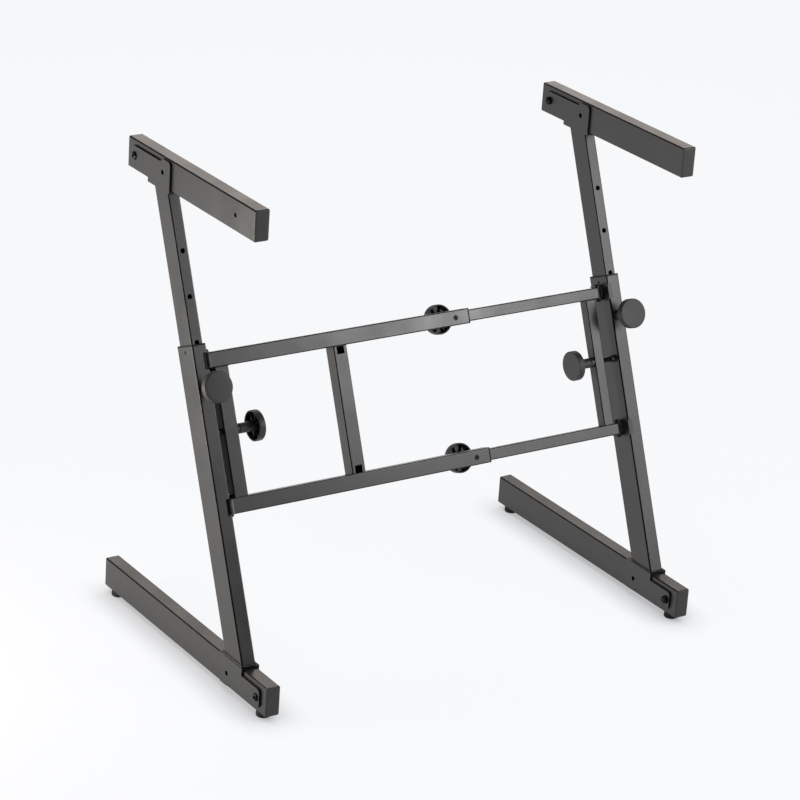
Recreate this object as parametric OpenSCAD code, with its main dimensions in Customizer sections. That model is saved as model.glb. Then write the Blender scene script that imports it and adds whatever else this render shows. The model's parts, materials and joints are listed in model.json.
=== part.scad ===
// Folding keyboard stand: two leaning legs with a flat foot and a flat arm each, joined by a
// telescoping frame of two crossbars. Millimetres, +X right, +Y to the rear, +Z up.
// The origin is on the floor, midway between the feet and midway along them.

/* [Overall] */
// Distance over the outer faces of the two legs at the width shown
stand_w = 825; // [700:5:930]
// Lean of the legs from upright, in degrees
lean = 22.7; // [16:0.1:28]

/* [Feet and arms] */
// Width of the rectangular tube that feet, arms and legs are cut from
tube_w = 25; // [20:1:30]
// Height of that tube
tube_h = 50; // [44:1:56]
// Wall of that tube
tube_wall = 1.5; // [1.2:0.1:1.6]
// Outer corner radius of that tube
tube_r = 2.5; // [1.5:0.1:4]
// Length of a foot, with its end caps
foot_len = 525; // [450:5:600]
// Length of an arm, with its end caps
arm_len = 392; // [320:2:460]
// Thickness of the face of a plastic end cap
cap_t = 2.5; // [1.5:0.1:5]
// Depth of the plug of an end cap inside its tube
cap_plug = 14; // [8:1:20]
// Wall of the plug of an end cap
cap_wall = 2; // [1:0.1:3]
// Diameter of a rubber pad under a foot
pad_d = 24; // [16:1:25]
// Height of a rubber pad under a foot
pad_h = 10; // [4:1:14]
// Distance from the end of a foot to the centre of its pad
pad_inset = 26; // [20:1:60]
// Radius of the lower edge of a rubber pad
pad_round = 2; // [0.5:0.1:3]
// Diameter of the accessory hole in the outer side of an arm
extra_hole_d = 7; // [4:0.5:10]
// Distance of the accessory hole from the free end of the arm
extra_hole_inset = 58; // [40:1:90]

/* [Legs] */
// Distance of the foot's pivot from the middle line of the leg, square to the leg
pivot_offset = 59.5; // [56:0.5:70]
// Top of the outer leg tube, measured along the leg from the foot's pivot
leg_top = 551; // [545:1:580]
// Arm's pivot at the height shown, measured along the leg from the foot's pivot
arm_reach = 859; // [845:1:900]
// Wall of the sliding mast tube
mast_wall = 1.5; // [1:0.1:2]
// Length of mast tube below the lowest height hole
mast_tail = 30; // [22:1:40]
// Number of height holes in a mast
hole_count = 6; // [4:1:6]
// Pitch of the height holes
hole_pitch = 72; // [60:1:74]
// Number of height holes below the one in use at the height shown
holes_below = 2; // [1:1:2]
// Diameter of a height hole
hole_d = 8.4; // [7:0.1:10]
// Length of the plastic guide at the foot of a mast
guide_len = 24; // [16:1:28]
// Depth of the plastic bushing inside the top of the leg tube
bushing_len = 40; // [24:1:44]
// Wall of the bushing at the sides of the mast
bushing_side = 0.65; // [0.5:0.05:1.2]
// Wall of the bushing in front of the mast and behind it
bushing_front = 3.15; // [2:0.05:4]
// Thickness of the bushing's rim above the leg tube
bushing_rim = 2.5; // [1.5:0.1:4]
// Width of the open corner of the left leg beside each crossbar's end
corner_cut_w = 8; // [5:0.5:9]
// Depth of that open corner
corner_cut_d = 10; // [6:0.5:12]
// Height left open above and below the crossbar there
corner_cut_room = 1; // [0.5:0.1:2]

/* [Fold brackets] */
// Thickness of the bent plate of a fold bracket
plate_t = 3; // [2:0.1:4]
// Distance from the pivot bolt to the end of a foot or arm
pivot_inset = 26; // [22:1:30]
// Distance from the pivot bolt to the snap button
snap_at = 90; // [84:1:94]
// Length of bracket plate beyond the pivot bolt
plate_nose = 10; // [9:0.5:12]
// Length of bracket plate beyond the snap button
plate_tail = 23; // [18:0.5:26]
// Distance from the pivot bolt to the start of the web that carries the leg
web_start = 45; // [42:0.5:46]
// Width left clear between the plate's long edge and the edge of the tube
plate_edge = 9; // [7:0.5:11]
// Width left clear beside the wider tab around the snap button
tab_edge = 3.5; // [2.5:0.5:5]
// Length of the wider tab around the snap button
tab_len = 30; // [26:1:34]
// Corner radius of the bracket plate
plate_r = 7; // [4:0.5:8]
// Diameter of a pivot bolt
bolt_d = 8; // [6:0.5:8]
// Diameter of the low domed head of a pivot bolt
bolt_head_d = 14; // [12:0.5:16]
// Height of the head of a pivot bolt
bolt_head_h = 3.6; // [2.5:0.1:4.5]
// Width across flats of a pivot bolt's lock nut
nut_flats = 13; // [11:0.5:14]
// Height of a pivot bolt's lock nut
nut_h = 6; // [4:0.5:7]
// Diameter of a spring snap button
snap_d = 8; // [6:0.5:8]

/* [Crossbars] */
// Size of the square outer crossbar tube
bar = 25; // [24:0.5:26]
// Wall of the outer crossbar tube
bar_wall = 1.5; // [1:0.1:1.6]
// Wall of the plastic sleeve between the outer and the inner crossbar
sleeve_wall = 1.15; // [0.9:0.05:1.4]
// Wall of the inner crossbar tube
inner_wall = 1.5; // [1:0.1:2]
// Corner radius of the crossbar tubes
bar_r = 1.8; // [1:0.1:2.4]
// Middle of the upper crossbar, measured along the leg from the foot's pivot
upper_bar_at = 525.5; // [522:0.5:532]
// Middle of the lower crossbar, measured along the leg from the foot's pivot
lower_bar_at = 294.5; // [290:0.5:330]
// Setback of the outer crossbars behind the front face of the legs
bar_setback = 2; // [1:0.5:4]
// Gap between the left leg and the tube of an outer crossbar
bar_end_gap = 14; // [13.5:0.5:18]
// Gap between the left leg and the nose in front of an outer crossbar's knuckle
nose_gap = 5; // [4:0.5:8]
// Depth of that nose
nose_d = 10; // [6:0.5:12]
// Gap between the right leg and the tube of an inner crossbar
inner_end_gap = 19; // [14:0.5:22]
// Right end of the outer crossbars, right of the stand's middle
outer_end = 102.5; // [60:0.5:130]
// Length of inner crossbar inside the outer crossbar at the width shown
overlap = 218; // [170:1:218]
// Size of the square posts between the outer crossbars
post = 25; // [24:0.5:25]
// Left face of the middle post, left of the stand's middle
middle_post_at = 160; // [130:1:180]
// Gap between the left leg and the left post
left_post_gap = 9.5; // [9:0.5:14]
// Gap between the right leg and the right post
right_post_gap = 26.5; // [24:0.5:40]
// Height of the cut in the front wall of the middle post at each end
notch_h = 13; // [8:0.5:16]
// Width of that cut
notch_w = 13.5; // [8:0.5:16]

/* [Fold hinges] */
// Distance of a leg's fold axis from the inner face of the leg
hinge_off = 8; // [7.5:0.25:8.5]
// Distance of the fold axis behind the middle plane of the crossbars
hinge_back = 7; // [6.8:0.1:7.2]
// Radius of the knuckle at the end of a crossbar
knuckle_r = 5.5; // [5:0.1:5.6]
// Diameter of a hinge pin
hinge_pin_d = 6; // [4:0.5:6.5]
// Thickness of the plate of a hinge bracket
strap_t = 1.2; // [1:0.1:2]
// Thickness of a hinge bracket's ears
ear_t = 2.5; // [2:0.1:3.5]
// Further reach of the right leg's bracket ears behind the pin
ear_back = 9; // [0:0.5:9]
// Length of the right hinge brackets that wraps onto the front face of the leg
strap_wrap = 7; // [5:0.5:9]
// Depth of hinge bracket along the inner face of the leg
strap_depth = 44; // [40:0.5:46]

/* [Knobs] */
// Diameter of a clamping knob
knob_d = 50; // [44:1:52]
// Thickness of the cap of a clamping knob
knob_t = 12; // [10:0.5:16]
// Clear length of neck between a tube and the open side of a height or fold knob
knob_neck = 32; // [26:0.5:36]
// Clear length of neck between a crossbar and the open side of a width knob
width_neck = 24.6; // [20:0.2:30]
// Diameter of the neck
neck_d = 16.5; // [14:0.5:17]
// Wall of the knob's rim
knob_wall = 2.5; // [2:0.1:3]
// Thickness of the knob's face
knob_face = 3.5; // [3:0.1:5]
// Chamfer around the knob's face
knob_chamfer = 1.5; // [1:0.1:2.5]
// Number of stiffening ribs in the back of a knob
knob_ribs = 8; // [6:1:12]
// Diameter of the screws moulded in the clamping knobs
stud_d = 8; // [6:0.5:8]
// Diameter of a weld nut
weld_nut_d = 17; // [15:0.5:18]
// Height of a weld nut
weld_nut_h = 6; // [4:0.5:8]
// Height of the height screw, measured along the leg from the foot's pivot
height_lock_at = 484; // [470:1:486]
// Height of the fold screws, measured along the leg from the foot's pivot
fold_lock_at = 412; // [395:1:425]
// Diameter of the threaded boss on the inner face of a leg
fold_boss_d = 12; // [10:0.5:12]
// Height of the threaded boss on the inner face of a leg
fold_boss_h = 7.5; // [6:0.5:8]
// Distance of the width screws from the right end of the outer crossbars
width_lock_inset = 24.5; // [20:0.5:30]

/* [Hidden] */

// Overrun of every cut, and the sizes of small gaps
over = 1;
// Gap between pieces that slide past each other
slide_gap = 0.3;
// Gap that keeps a screw's tip off the piece that it locks
tip_gap = 0.3;
// Radial gap of a turning pin or screw in its hole
pin_gap = 0.05;
// Radial gap of a bolt in the plates that it only passes through
bolt_gap = 0.1;
// Gap between a bracket's plate and the tube that turns in it
plate_gap = 0.5;
// Gap between a knob's neck and its weld nut
neck_gap = 0.4;
// Steps of each rounded tube corner
corner_steps = 5;
// Facets of a full circle
$fn = 64;

// Places worked out from the sizes above
leg_x = -(stand_w - tube_w) / 2;
inner_face = leg_x + tube_w / 2;
pivot_y = pivot_inset - foot_len / 2;
pivot_z = pad_h + tube_h / 2;
leg_front = pivot_offset - tube_h / 2;
mast_w = tube_w - 2 * (tube_wall + pin_gap + bushing_side + slide_gap);
mast_h = tube_h - 2 * (tube_wall + pin_gap + bushing_front + slide_gap);
mast_front = pivot_offset - mast_h / 2;
arm_pivot_y = pivot_y + 2 * pivot_offset * cos(lean) + arm_reach * sin(lean);
arm_pivot_z = pivot_z - 2 * pivot_offset * sin(lean) + arm_reach * cos(lean);
inner_bar = bar - 2 * (bar_wall + pin_gap + sleeve_wall + slide_gap);
web_under = tube_h / 2 + plate_gap;
web_top = web_under + plate_t;
plate_in = tube_w / 2 + plate_gap;
plate_out = plate_in + plate_t;
bar_depth = leg_front + bar_setback + bar / 2;
bar_x = inner_face + bar_end_gap;
inner_x = inner_face + inner_end_gap;
left_post_x = inner_face + left_post_gap;
hinge_x = inner_face + hinge_off;
hinge_depth = bar_depth + hinge_back;
lowest_hole = height_lock_at - holes_below * hole_pitch;
mast_bottom = lowest_hole - mast_tail;
width_lock_x = outer_end - width_lock_inset;
nut_corner_d = nut_flats / cos(30);

// Small sizes of the legs, their bushings and their guides
mast_r = 2;
bushing_pin_drop = 8.5;
bushing_pin_d = 5;
bushing_pin_dip = 0.8;
guide_base = 3;
weld_nut_edge = 1;

// Small sizes of the fold brackets and what they carry
plate_inner_r = 1;
cap_edge = 0.5;
socket_flats = 5;
socket_depth = 2;
dome_edge_share = 0.25;
leaf_t = 0.8;
leaf_len = 26;
snap_flange_d = snap_d + 2 * leaf_t;
snap_flange_h = 1.2;
snap_round = 2;

// Small sizes of the crossbars and their hinges
end_plate_t = 3;
knuckle_trim = 0.5;
nib_d = 8.5;
nib_proud = 0.4;
pin_head_d = 10;
pin_head_h = 2.5;
pin_nut_h = 3;
ear_clear = 0.5;
nose_edge = 1;

// Small sizes of the knobs and their screws
rib_t = 1.6;
rib_drop = 2;
rim_edge = 0.8;
tip_edge = 0.8;

black_paint = "#4c4b4b";
black_plastic = "#2b2a2b";
black_rubber = "#1d1d1e";
dark_steel = "#3a3a3c";

// Outline of a rectangle with round corners, as points
function round_rect(a, b, r) = [
    for (q = [0:3], i = [0:corner_steps])
        let (
            turn = 90 * (q + i / corner_steps),
            sx = (q == 0 || q == 3) ? 1 : -1,
            sy = (q < 2) ? 1 : -1
        )
        [sx * (a / 2 - r) + r * cos(turn), sy * (b / 2 - r) + r * sin(turn)]
];

// Outline of a rectangle with its own radius at each corner, from low to high
function corner_rect(x0, y0, x1, y1, r) = [
    for (q = [0:3], i = [0:corner_steps])
        let (
            turn = 90 * (q + i / corner_steps),
            cx = (q == 0 || q == 3) ? x1 - r[q] : x0 + r[q],
            cy = (q < 2) ? y1 - r[q] : y0 + r[q]
        )
        [cx + r[q] * cos(turn), cy + r[q] * sin(turn)]
];

// Places children on the left leg's own frame: across, back from the front, up the leg
module on_leg() {
    translate([0, pivot_y, pivot_z]) rotate([-lean, 0, 0]) children();
}

// Turns a piece drawn along +Z to lie along +X, with its first axis to the rear
module along_x() {
    rotate([90, 0, 90]) children();
}

// Draws a left-hand piece, or its mirror image for the right leg
module handed(right) {
    if (right) mirror([1, 0, 0]) children();
    else children();
}

// Straight hollow tube along +Z
module tube(a, b, wall, r, length) {
    difference() {
        linear_extrude(length) polygon(round_rect(a, b, r));
        translate([0, 0, -over])
            linear_extrude(length + 2 * over)
                polygon(round_rect(a - 2 * wall, b - 2 * wall, r - wall / 2));
    }
}

// Legs

module leg_outline() {
    on_leg()
        translate([leg_x, pivot_offset, 0])
            tube(tube_w, tube_h, tube_wall, tube_r, leg_top);
}

module leg_tube(right) {
    color(black_paint) handed(right) difference() {
        leg_outline();
        // The foot of the tube is cut level to stand on the bracket's web
        translate([leg_x - tube_w, -foot_len / 2, 0])
            cube([2 * tube_w, foot_len, pivot_z + web_top]);
        on_leg() {
            // Hole for the height screw in the front wall
            translate([leg_x, leg_front - over, height_lock_at])
                rotate([-90, 0, 0])
                    cylinder(d = stud_d + 2 * pin_gap, h = tube_wall + 2 * over);
            // Small holes that hold the bushing, in both side walls
            translate([leg_x - tube_w, pivot_offset, leg_top - bushing_pin_drop])
                rotate([0, 90, 0]) cylinder(d = bushing_pin_d, h = 2 * tube_w);
            // Open corner beside each crossbar's end, on the left leg
            if (!right)
                for (at = [upper_bar_at, lower_bar_at])
                    translate([inner_face - corner_cut_w, leg_front - over,
                        at - bar / 2 - corner_cut_room])
                        cube([corner_cut_w + over, corner_cut_d + over,
                            bar + 2 * corner_cut_room]);
        }
    }
}

module leg_bushing(right) {
    inside_w = tube_w - 2 * tube_wall - 2 * pin_gap;
    inside_h = tube_h - 2 * tube_wall - 2 * pin_gap;
    color(black_plastic) handed(right) on_leg() translate([leg_x, pivot_offset, leg_top])
        difference() {
            union() {
                linear_extrude(bushing_rim) polygon(round_rect(tube_w, tube_h, tube_r));
                translate([0, 0, -bushing_len])
                    linear_extrude(bushing_len + bushing_rim / 2)
                        polygon(round_rect(inside_w, inside_h, tube_r - tube_wall / 2));
                // Pips that snap into the small holes of the leg tube
                translate([-(tube_w / 2 - bushing_pin_dip), 0, -bushing_pin_drop])
                    rotate([0, 90, 0])
                        cylinder(d = bushing_pin_d - 2 * pin_gap, h = tube_w - 2 * bushing_pin_dip);
            }
            translate([0, 0, -bushing_len - over])
                linear_extrude(bushing_len + bushing_rim + 2 * over)
                    polygon(round_rect(mast_w + 2 * slide_gap, mast_h + 2 * slide_gap,
                        mast_r + slide_gap));
        }
}

module leg_weld_nuts(right) {
    color(dark_steel) handed(right) on_leg() {
        // Nut of the height screw on the front face
        translate([leg_x, leg_front, height_lock_at]) rotate([90, 0, 0]) weld_nut();
        // Boss of the fold screw on the inner face
        translate([inner_face, bar_depth, fold_lock_at]) rotate([0, 90, 0])
            difference() {
                cylinder(d = fold_boss_d, h = fold_boss_h);
                translate([0, 0, -over])
                    cylinder(d = stud_d + 2 * pin_gap, h = fold_boss_h + 2 * over);
            }
    }
}

// Round nut welded on a tube, standing on z = 0
module weld_nut() {
    difference() {
        union() {
            cylinder(d = weld_nut_d, h = weld_nut_h - weld_nut_edge);
            translate([0, 0, weld_nut_h - weld_nut_edge])
                cylinder(d1 = weld_nut_d, d2 = weld_nut_d - 2 * weld_nut_edge, h = weld_nut_edge);
        }
        translate([0, 0, -over])
            cylinder(d = stud_d + 2 * pin_gap, h = weld_nut_h + 2 * over);
    }
}

// Fold brackets, drawn round their pivot with the tube along +X and the web above

module bracket_side() {
    low = -(tube_h / 2 - plate_edge);
    tab_low = -(tube_h / 2 - tab_edge);
    high = tube_h / 2 - plate_edge;
    far = snap_at + plate_tail;
    linear_extrude(plate_t) difference() {
        union() {
            polygon(corner_rect(-plate_nose, low, far, high, [plate_r, plate_r, plate_r, plate_r]));
            polygon(corner_rect(far - tab_len, tab_low, far, high,
                [plate_r, plate_inner_r, plate_r, plate_r]));
            polygon([[web_start, 0], [far, 0], [far, web_top], [web_start, web_top]]);
        }
        circle(d = bolt_d + 2 * bolt_gap);
        translate([snap_at, 0]) circle(d = snap_d + 2 * pin_gap);
    }
}

module fold_bracket() {
    far = snap_at + plate_tail;
    // Two side plates, standing square to X
    for (s = [-1, 1])
        translate([s < 0 ? -plate_out : plate_in, 0, 0])
            along_x() bracket_side();
    // Web across the tube, which the leg is welded to
    translate([-plate_in, web_start, web_under])
        cube([2 * plate_in, far - web_start, plate_t]);
}

module foot_bracket(right) {
    color(black_paint) handed(right) at_foot_pivot() fold_bracket();
}

module arm_bracket(right) {
    color(black_paint) handed(right) at_arm_pivot() fold_bracket();
}

// The foot's pivot: +Y runs to the rear along the foot, +Z up to the web
module at_foot_pivot() {
    translate([leg_x, pivot_y, pivot_z]) children();
}

// The arm's pivot: half a turn, so +Y runs forward along the arm and +Z down to the web
module at_arm_pivot() {
    translate([leg_x, arm_pivot_y, arm_pivot_z]) rotate([180, 0, 0]) children();
}

// Bolt across a bracket, head on the outer side and nut on the inner side
module pivot_bolt() {
    shank = 2 * plate_out + nut_h;
    color(dark_steel) {
        translate([-plate_out, 0, 0]) along_x() difference() {
            union() {
                cylinder(d = bolt_d, h = shank);
                rotate([180, 0, 0]) rotate_extrude() polygon(dome(bolt_head_d / 2, bolt_head_h));
            }
            // Hexagon socket in the head
            translate([0, 0, -bolt_head_h - over])
                cylinder(d = socket_flats / cos(30), h = socket_depth + over, $fn = 6);
        }
        translate([plate_out, 0, 0]) along_x() difference() {
            cylinder(d = nut_corner_d, h = nut_h, $fn = 6);
            translate([0, 0, -over]) cylinder(d = bolt_d + 2 * bolt_gap, h = nut_h + 2 * over);
        }
    }
}

// Half outline of a low dome with a short straight edge
function dome(r, h) =
    let (edge = h * dome_edge_share)
    [
        [0, 0], [r, 0], [r, edge],
        for (i = [1:corner_steps - 1])
            let (turn = 90 * i / corner_steps)
            [r * cos(turn), edge + (h - edge) * sin(turn)],
        [0, h]
    ];

// Foot and arm tubes

// Tube along +Y with a hole across it at the pivot and at the snap button
module limb_tube(length) {
    start = -pivot_inset + cap_t;
    difference() {
        translate([0, start, 0]) rotate([-90, 0, 0])
            tube(tube_w, tube_h, tube_wall, tube_r, length - 2 * cap_t);
        translate([-tube_w, 0, 0]) along_x()
            cylinder(d = bolt_d + 2 * pin_gap, h = 2 * tube_w);
        translate([-tube_w, snap_at, 0]) along_x()
            cylinder(d = snap_d + 2 * pin_gap, h = 2 * tube_w);
    }
}

// Two plastic caps with hollow plugs, one in each end of the tube
module limb_caps(length) {
    for (end = [0, 1])
        translate([0, end * length - pivot_inset, 0])
            mirror([0, end, 0]) rotate([-90, 0, 0]) end_cap();
}

module end_cap() {
    plug_w = tube_w - 2 * tube_wall - 2 * pin_gap;
    plug_h = tube_h - 2 * tube_wall - 2 * pin_gap;
    difference() {
        union() {
            linear_extrude(cap_edge)
                polygon(round_rect(tube_w - 2 * cap_edge, tube_h - 2 * cap_edge, tube_r - cap_edge / 2));
            translate([0, 0, cap_edge])
                linear_extrude(cap_t - cap_edge) polygon(round_rect(tube_w, tube_h, tube_r));
            linear_extrude(cap_t + cap_plug)
                polygon(round_rect(plug_w, plug_h, tube_r - tube_wall / 2));
        }
        translate([0, 0, cap_t])
            linear_extrude(cap_plug + over)
                polygon(round_rect(plug_w - 2 * cap_wall, plug_h - 2 * cap_wall, tube_r / 2));
    }
}

module foot_tube(right) {
    color(black_paint) handed(right) at_foot_pivot() limb_tube(foot_len);
}

module foot_end_caps(right) {
    color(black_plastic) handed(right) at_foot_pivot() limb_caps(foot_len);
}

module arm_tube(right) {
    color(black_paint) handed(right) at_arm_pivot() difference() {
        limb_tube(arm_len);
        // Accessory hole through the outer wall, near the free end
        translate([-tube_w, arm_len - pivot_inset - extra_hole_inset, 0]) along_x()
            cylinder(d = extra_hole_d, h = tube_w);
    }
}

module arm_end_caps(right) {
    color(black_plastic) handed(right) at_arm_pivot() limb_caps(arm_len);
}

// Rubber pads under both ends of a foot
module foot_pads(right) {
    color(black_rubber) handed(right)
        for (end = [-1, 1])
            translate([leg_x, end * (foot_len / 2 - pad_inset), 0])
                rotate_extrude() polygon([
                    [0, 0], [pad_d / 2 - pad_round, 0],
                    for (i = [1:corner_steps])
                        let (turn = -90 + 90 * i / corner_steps)
                        [pad_d / 2 - pad_round + pad_round * cos(turn),
                            pad_round + pad_round * sin(turn)],
                    [pad_d / 2, pad_h], [0, pad_h]
                ]);
}

// Snap button in the outer wall, with the leaf that springs it inside the tube.
// Its round tip stops under the bracket plate, at the bottom of the plate's hole.
module snap_button() {
    tip = plate_in - slide_gap;
    root = tube_w / 2 - tube_wall;
    translate([-tip, snap_at, 0]) along_x() {
        rotate_extrude() polygon([
            [0, 0], [snap_d / 2 - snap_round, 0],
            for (i = [1:corner_steps])
                let (turn = -90 + 90 * i / corner_steps)
                [snap_d / 2 - snap_round + snap_round * cos(turn),
                    snap_round + snap_round * sin(turn)],
            [snap_d / 2, tip - root + pin_gap],
            [snap_flange_d / 2, tip - root + pin_gap],
            [snap_flange_d / 2, tip - root + snap_flange_h],
            [0, tip - root + snap_flange_h]
        ]);
        // Leaf, along the tube towards its free end
        translate([0, -snap_d / 2, tip - root + snap_flange_h - leaf_t])
            cube([leaf_len, snap_d, leaf_t]);
    }
}

module foot_snap_button(right) {
    color(dark_steel) handed(right) at_foot_pivot() snap_button();
}

module arm_snap_button(right) {
    color(dark_steel) handed(right) at_arm_pivot() snap_button();
}

module foot_pivot_bolt(right) {
    handed(right) at_foot_pivot() pivot_bolt();
}

module arm_pivot_bolt(right) {
    handed(right) at_arm_pivot() pivot_bolt();
}

// Masts

module mast_tube(right) {
    color(black_paint) handed(right) difference() {
        on_leg() difference() {
            translate([leg_x, pivot_offset, mast_bottom])
                tube(mast_w, mast_h, mast_wall, mast_r, arm_reach - mast_bottom + tube_h);
            // Row of height holes through the front wall
            for (i = [0:hole_count - 1])
                translate([leg_x, mast_front - over, lowest_hole + i * hole_pitch])
                    rotate([-90, 0, 0]) cylinder(d = hole_d, h = mast_wall + 2 * over);
        }
        // The top is cut level under the arm bracket's web
        translate([leg_x - tube_w, arm_pivot_y - foot_len, arm_pivot_z - web_top])
            cube([2 * tube_w, 2 * foot_len, foot_len]);
    }
}

// Plastic guide plugged into the foot of the mast: a base, a plug inside the mast, and two
// cheeks that fill the room in front of and behind it
module mast_guide(right) {
    run_w = tube_w - 2 * tube_wall - 2 * slide_gap;
    run_h = tube_h - 2 * tube_wall - 2 * slide_gap;
    slot_h = mast_h + 2 * pin_gap;
    plug_w = mast_w - 2 * mast_wall - 2 * pin_gap;
    plug_h = mast_h - 2 * mast_wall - 2 * pin_gap;
    color(black_plastic) handed(right) on_leg() translate([leg_x, pivot_offset, mast_bottom]) {
        difference() {
            translate([0, 0, -guide_base])
                linear_extrude(guide_base + guide_len)
                    polygon(round_rect(run_w, run_h, tube_r - tube_wall / 2));
            translate([-run_w, -slot_h / 2, 0]) cube([2 * run_w, slot_h, guide_len + over]);
        }
        translate([0, 0, -guide_base / 2])
            linear_extrude(guide_base / 2 + guide_len)
                polygon(round_rect(plug_w, plug_h, mast_r - mast_wall / 2));
    }
}

// Hinge between a leg and the ends of its two crossbars

// Bracket for one crossbar of the given height, at the given place up the leg. The plate lies on
// the leg's inner face. It wraps round onto the front face, or starts behind the leg's open corner.
module hinge_bracket(at, bar_h, wrapped) {
    ear_at = bar_h / 2 + slide_gap;
    strap_h = 2 * (ear_at + ear_t);
    start = wrapped ? -strap_t : corner_cut_d;
    back = wrapped ? ear_back : 0;
    translate([inner_face, leg_front, at]) {
        translate([0, start, -strap_h / 2]) cube([strap_t, strap_depth - start, strap_h]);
        if (wrapped)
            translate([-strap_wrap, -strap_t, -strap_h / 2])
                cube([strap_wrap + strap_t, strap_t, strap_h]);
        // Two ears with the pin's holes
        for (s = [0, 1]) mirror([0, 0, s]) translate([0, 0, ear_at]) difference() {
            union() {
                translate([hinge_off, hinge_depth - leg_front, 0]) cylinder(r = knuckle_r, h = ear_t);
                translate([strap_t / 2, hinge_depth - leg_front - knuckle_r, 0])
                    cube([hinge_off - strap_t / 2, 2 * knuckle_r + back, ear_t]);
                if (wrapped) {
                    translate([strap_t / 2, hinge_depth - leg_front, 0])
                        cube([hinge_off + knuckle_r - strap_t / 2, back, ear_t]);
                    translate([hinge_off, hinge_depth - leg_front + back, 0])
                        cylinder(r = knuckle_r, h = ear_t);
                }
            }
            translate([hinge_off, hinge_depth - leg_front, -over])
                cylinder(d = hinge_pin_d + 2 * bolt_gap, h = ear_t + 2 * over);
        }
    }
}

module hinge_brackets(right) {
    bar_h = right ? inner_bar : bar;
    color(black_paint) handed(right) on_leg() {
        hinge_bracket(upper_bar_at, bar_h, right);
        hinge_bracket(lower_bar_at, bar_h, right);
    }
}

// Pins with a head above and a nut below
module hinge_pins(right) {
    bar_h = right ? inner_bar : bar;
    reach = bar_h / 2 + slide_gap + ear_t;
    color(dark_steel) handed(right) on_leg()
        for (at = [upper_bar_at, lower_bar_at])
            translate([hinge_x, hinge_depth, at]) {
                translate([0, 0, -reach - pin_nut_h]) cylinder(d = hinge_pin_d, h = 2 * reach + pin_nut_h);
                translate([0, 0, reach]) rotate_extrude() polygon(dome(pin_head_d / 2, pin_head_h));
                translate([0, 0, -reach - pin_nut_h])
                    cylinder(d = pin_head_d, h = pin_nut_h, $fn = 6);
            }
}

// Crossbar frame

// Knuckle with its end plate, for a bar of the given size that starts at end and runs to +X
// The knuckle's root is trimmed to stay just inside the back and the corners of the tube
module bar_knuckle(at, size, end) {
    translate([end, bar_depth, at]) along_x()
        linear_extrude(end_plate_t) polygon(round_rect(size, size, bar_r));
    translate([hinge_x, hinge_depth, at - size / 2]) cylinder(r = knuckle_r, h = size);
    translate([hinge_x, hinge_depth - knuckle_r, at - size / 2 + bar_r])
        cube([end - hinge_x + end_plate_t / 2, 2 * knuckle_r - knuckle_trim, size - 2 * bar_r]);
}

// Nose that closes the front of an outer crossbar's hinge
module bar_nose(at) {
    translate([inner_face + nose_gap, bar_depth, at]) along_x()
        linear_extrude(bar_end_gap - nose_gap + end_plate_t / 2)
            polygon(corner_rect(-bar / 2, -bar / 2, nose_d - bar / 2, bar / 2,
                [nose_edge, bar_r, bar_r, nose_edge]));
}

module outer_crossbar(at) {
    color(black_paint) on_leg() difference() {
        union() {
            translate([bar_x, bar_depth, at]) along_x()
                tube(bar, bar, bar_wall, bar_r, outer_end - bar_x);
            bar_knuckle(at, bar, bar_x);
            bar_nose(at);
        }
        pin_hole(at, bar);
        // Hole for the width screw behind and for the bushing's nib in front
        translate([width_lock_x, bar_depth, at]) {
            rotate([-90, 0, 0]) cylinder(d = stud_d + 2 * pin_gap, h = bar);
            rotate([90, 0, 0]) cylinder(d = nib_d + 2 * pin_gap, h = bar);
        }
    }
}

module pin_hole(at, size) {
    translate([hinge_x, hinge_depth, at - size])
        cylinder(d = hinge_pin_d + 2 * pin_gap, h = 2 * size);
}

// Inner crossbar, drawn on the left and mirrored: it ends inside the outer crossbar
module inner_crossbar(at) {
    color(black_paint) mirror([1, 0, 0]) on_leg() difference() {
        union() {
            translate([inner_x, bar_depth, at]) along_x()
                tube(inner_bar, inner_bar, inner_wall, bar_r, -inner_x - outer_end + overlap);
            bar_knuckle(at, inner_bar, inner_x);
        }
        pin_hole(at, inner_bar);
    }
}

module left_post() {
    low = lower_bar_at + bar / 2;
    high = upper_bar_at - bar / 2;
    room = ear_t + pin_nut_h + 2 * ear_clear;
    color(black_paint) on_leg() difference() {
        translate([left_post_x + post / 2, bar_depth, low])
            tube(post, post, bar_wall, bar_r, high - low);
        // Hole for the fold screw through both walls
        translate([left_post_x - over, bar_depth, fold_lock_at]) along_x()
            cylinder(d = stud_d + 2 * pin_gap, h = post + 2 * over);
        // Open corners behind, which clear the ears and pins of the hinge
        for (z = [low - over, high - room])
            translate([left_post_x - over, hinge_depth - knuckle_r - ear_clear, z])
                cube([hinge_off + knuckle_r + ear_clear - left_post_gap + over, post,
                    room + over]);
    }
}

module middle_post() {
    low = lower_bar_at + bar / 2;
    high = upper_bar_at - bar / 2;
    color(black_paint) on_leg() difference() {
        translate([-middle_post_at + post / 2, bar_depth, low])
            tube(post, post, bar_wall, bar_r, high - low);
        // Open cuts in the front wall beside each crossbar
        for (z = [low - over, high - notch_h])
            translate([-middle_post_at + (post - notch_w) / 2, bar_depth - post, z])
                cube([notch_w, post, notch_h + over]);
    }
}

module right_post() {
    low = lower_bar_at + inner_bar / 2;
    length = upper_bar_at - lower_bar_at - inner_bar;
    color(black_paint) mirror([1, 0, 0]) on_leg() difference() {
        translate([inner_face + right_post_gap + inner_bar / 2, bar_depth, low])
            tube(inner_bar, inner_bar, inner_wall, bar_r, length);
        translate([inner_face + right_post_gap - over, bar_depth, fold_lock_at]) along_x()
            cylinder(d = stud_d + 2 * pin_gap, h = inner_bar + 2 * over);
    }
}

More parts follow.
